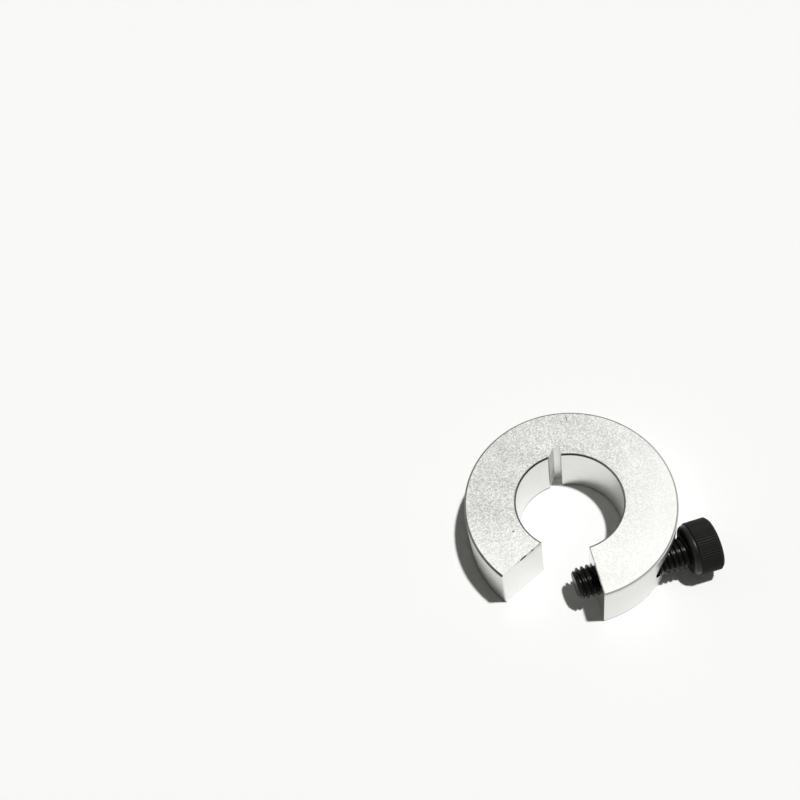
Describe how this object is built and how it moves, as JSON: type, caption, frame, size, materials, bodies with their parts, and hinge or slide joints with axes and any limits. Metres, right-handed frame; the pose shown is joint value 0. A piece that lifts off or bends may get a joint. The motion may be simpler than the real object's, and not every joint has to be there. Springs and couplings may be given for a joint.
{
  "type": "rail clamp",
  "caption": "Open C-shaped clamp collar with a relief slot in its bore; a socket head cap screw through one arm bears on a round rail's support and locks the collar as a stop.",
  "frame": {"origin": "on the bore's axis, at half of the collar's thickness", "axes": "+Z along the rail, gap for the rail's support towards -Y, screw along X with its head towards +X"},
  "size_m": [0.0429, 0.04, 0.012],
  "materials": {
    "anodised_aluminium": "bead-blasted and clear anodised",
    "black_oxide_steel": "black oxide, lightly oiled"
  },
  "bodies": {
    "collar": {"clamp_ring": "anodised_aluminium"},
    "screw": {"clamp_screw": "black_oxide_steel"}
  },
  "joints": [
    {"name": "screw_travel", "type": "slide", "parent": "collar", "child": "screw", "axis": [1, 0, 0], "range_m": [0, 0.006]}
  ]
}
